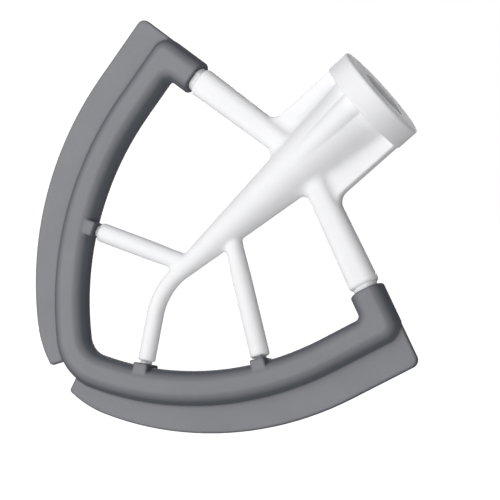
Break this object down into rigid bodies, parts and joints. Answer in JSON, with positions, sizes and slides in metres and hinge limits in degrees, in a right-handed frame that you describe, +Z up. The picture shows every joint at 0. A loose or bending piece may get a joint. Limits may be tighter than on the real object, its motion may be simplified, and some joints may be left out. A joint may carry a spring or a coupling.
{
  "type": "stand mixer flat beater",
  "caption": "White moulded beater with a drive bore, a tapering bent stem, arms and spokes, and a grey flexible wiper edge that scrapes the mixing bowl.",
  "frame": {"origin": "centre of the drive bore's mouth, on the hub's top face", "axes": "+Z up along the drive bore, out of its mouth; the arms lie along X, with the stem's bent end and the pin slot on the +X side; Y is the depth, with -Y the front"},
  "size_m": [0.1446, 0.0328, 0.1379],
  "materials": {
    "white_moulding": "satin white, smooth moulded skin",
    "grey_elastomer": "matte grey, soft moulded skin"
  },
  "bodies": {
    "root": {"frame": "white_moulding", "flex_edge": "grey_elastomer"}
  },
  "joints": []
}
